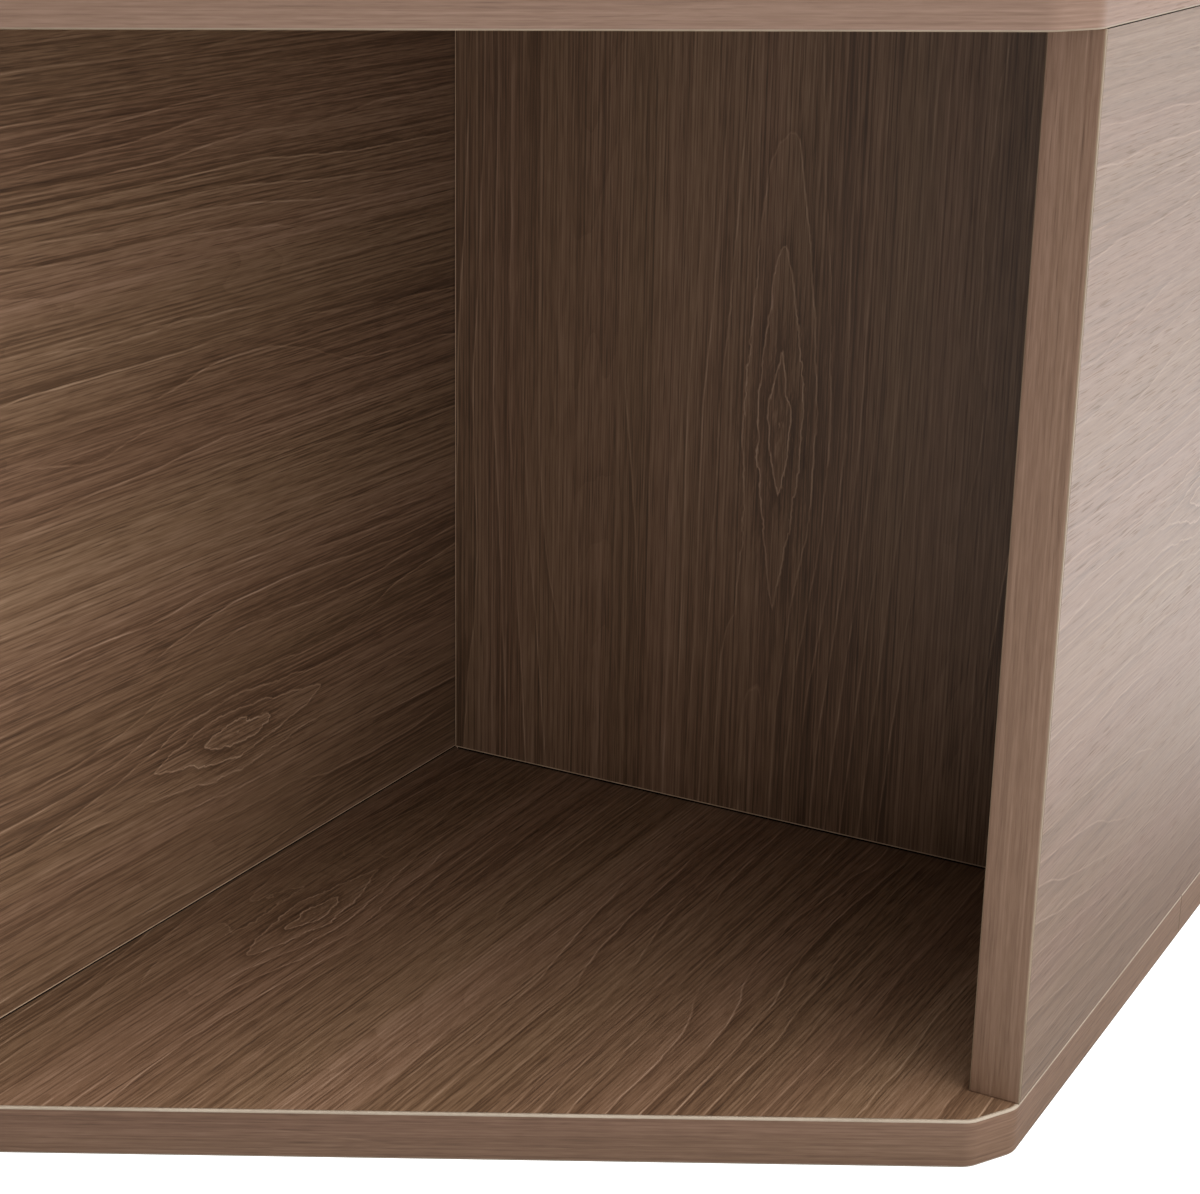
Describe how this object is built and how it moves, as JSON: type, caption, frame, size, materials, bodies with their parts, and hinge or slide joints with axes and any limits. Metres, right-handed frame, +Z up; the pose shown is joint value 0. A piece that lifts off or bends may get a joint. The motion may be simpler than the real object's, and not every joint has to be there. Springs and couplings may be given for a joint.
{
  "type": "cube storage unit",
  "caption": "Low hexagonal storage table: wood-look boards, open compartments round crossed dividers, closed by a panel on two opposite sides.",
  "frame": {"origin": "on the floor, under the centre of the hexagon", "axes": "+Z up; +Y along the long divider, corner to corner; +X along the cross dividers, to the right side panel"},
  "size_m": [0.6928, 0.789, 0.4],
  "materials": {
    "laminate": "walnut-look melamine, fine embossed pores, satin",
    "edge_band": "walnut-look plastic edge band, grain along the edge, satin",
    "zinc": "bright zinc",
    "beech": "plain turned beech",
    "glide": "moulded, matt"
  },
  "bodies": {
    "root": {"base_board": "laminate", "base_edge_band": "edge_band", "base_screw_cross_divider_left": "zinc", "base_screw_cross_divider_right": "zinc", "base_screw_long_divider_1": "zinc", "base_screw_long_divider_2": "zinc", "base_screw_long_divider_3": "zinc", "base_screw_long_divider_4": "zinc", "base_screw_side_panel_left_1": "zinc", "base_screw_side_panel_left_2": "zinc", "base_screw_side_panel_right_1": "zinc", "base_screw_side_panel_right_2": "zinc", "cam_bolt_cross_divider_left": "zinc", "cam_bolt_cross_divider_right": "zinc", "cam_bolt_long_divider_back": "zinc", "cam_bolt_long_divider_front": "zinc", "cam_bolt_side_panel_left_back": "zinc", "cam_bolt_side_panel_left_front": "zinc", "cam_bolt_side_panel_right_back": "zinc", "cam_bolt_side_panel_right_front": "zinc", "cam_lock_cross_divider_left": "zinc", "cam_lock_cross_divider_right": "zinc", "cam_lock_long_divider_back": "zinc", "cam_lock_long_divider_front": "zinc", "cam_lock_side_panel_left_back": "zinc", "cam_lock_side_panel_left_front": "zinc", "cam_lock_side_panel_right_back": "zinc", "cam_lock_side_panel_right_front": "zinc", "cross_divider_left": "laminate", "cross_divider_right": "laminate", "dowel_centre_lower": "beech", "dowel_centre_upper": "beech", "dowel_left_lower": "beech", "dowel_left_upper": "beech", "dowel_right_lower": "beech", "dowel_right_upper": "beech", "glide_back": "glide", "glide_centre": "glide", "glide_front": "glide", "glide_left_back": "glide", "glide_left_front": "glide", "glide_right_back": "glide", "glide_right_front": "glide", "long_divider": "laminate", "long_divider_back_band": "edge_band", "long_divider_front_band": "edge_band", "side_panel_left": "laminate", "side_panel_left_back_band": "edge_band", "side_panel_left_front_band": "edge_band", "side_panel_right": "laminate", "side_panel_right_back_band": "edge_band", "side_panel_right_front_band": "edge_band", "top_board": "laminate", "top_edge_band": "edge_band"}
  },
  "joints": []
}
